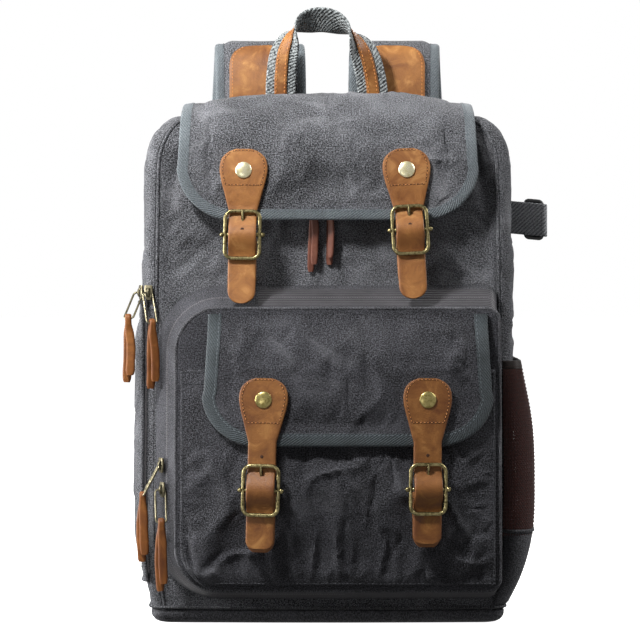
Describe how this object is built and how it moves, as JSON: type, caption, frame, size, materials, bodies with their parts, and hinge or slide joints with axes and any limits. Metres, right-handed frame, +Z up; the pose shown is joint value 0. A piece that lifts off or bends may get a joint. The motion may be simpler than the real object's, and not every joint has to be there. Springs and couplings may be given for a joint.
{
  "type": "camera backpack",
  "caption": "Waxed canvas backpack with flaps held by leather belts and buckles, a zipped front compartment, side door, net pocket, handle and shoulder straps.",
  "frame": {"origin": "centre of the foot of the base panel, on the floor that the bag stands on", "axes": "+Z up, -Y out of the front, +Y out of the back that the wearer carries it on, +X to the right seen from the front"},
  "size_m": [0.3576, 0.2559, 0.5139],
  "materials": {
    "waxed_canvas": "charcoal waxed canvas with pale rub marks",
    "base_canvas": "near-black canvas",
    "binding_tape": "slate grey twill tape",
    "zipper_tape": "grey-brown ribbed tape",
    "back_mesh": "dark spacer mesh",
    "webbing": "speckled grey webbing",
    "pocket_net": "dark reddish-brown net",
    "leather": "oily tan leather",
    "brass": "antique brass",
    "plastic": "black"
  },
  "bodies": {
    "root": {"front_panel": "waxed_canvas", "side_panel_right": "waxed_canvas", "side_panel_left": "waxed_canvas", "back_panel": "back_mesh", "top_panel": "waxed_canvas", "base_panel": "base_canvas", "organiser_gusset": "zipper_tape", "organiser_face": "waxed_canvas", "front_pocket": "waxed_canvas", "top_flap": "waxed_canvas", "top_flap_binding": "binding_tape", "front_flap": "waxed_canvas", "front_flap_binding": "binding_tape", "belt_upper_left": "leather", "chape_upper_left": "leather", "buckle_upper_left": "brass", "rivet_upper_left": "brass", "belt_upper_right": "leather", "chape_upper_right": "leather", "buckle_upper_right": "brass", "rivet_upper_right": "brass", "belt_lower_left": "leather", "chape_lower_left": "leather", "buckle_lower_left": "brass", "rivet_lower_left": "brass", "belt_lower_right": "leather", "chape_lower_right": "leather", "buckle_lower_right": "brass", "rivet_lower_right": "brass", "handle_webbing": "webbing", "handle_leather": "leather", "shoulder_strap_left": "waxed_canvas", "strap_patch_left": "leather", "strap_slider_left": "plastic", "strap_anchor_left": "waxed_canvas", "strap_webbing_left": "webbing", "shoulder_strap_right": "waxed_canvas", "strap_patch_right": "leather", "strap_slider_right": "plastic", "strap_anchor_right": "waxed_canvas", "strap_webbing_right": "webbing", "lash_strap": "webbing", "lash_buckle": "plastic", "side_loop": "plastic", "bottle_net": "pocket_net", "bottle_pocket_base": "base_canvas", "side_door": "waxed_canvas", "slider_top_left": "brass", "lace_top_left": "leather", "slider_top_right": "brass", "lace_top_right": "leather", "slider_gusset_upper": "brass", "lace_gusset_upper": "leather", "slider_gusset_lower": "brass", "lace_gusset_lower": "leather", "slider_door_front": "brass", "lace_door_front": "leather", "slider_door_back": "brass", "lace_door_back": "leather"}
  },
  "joints": []
}
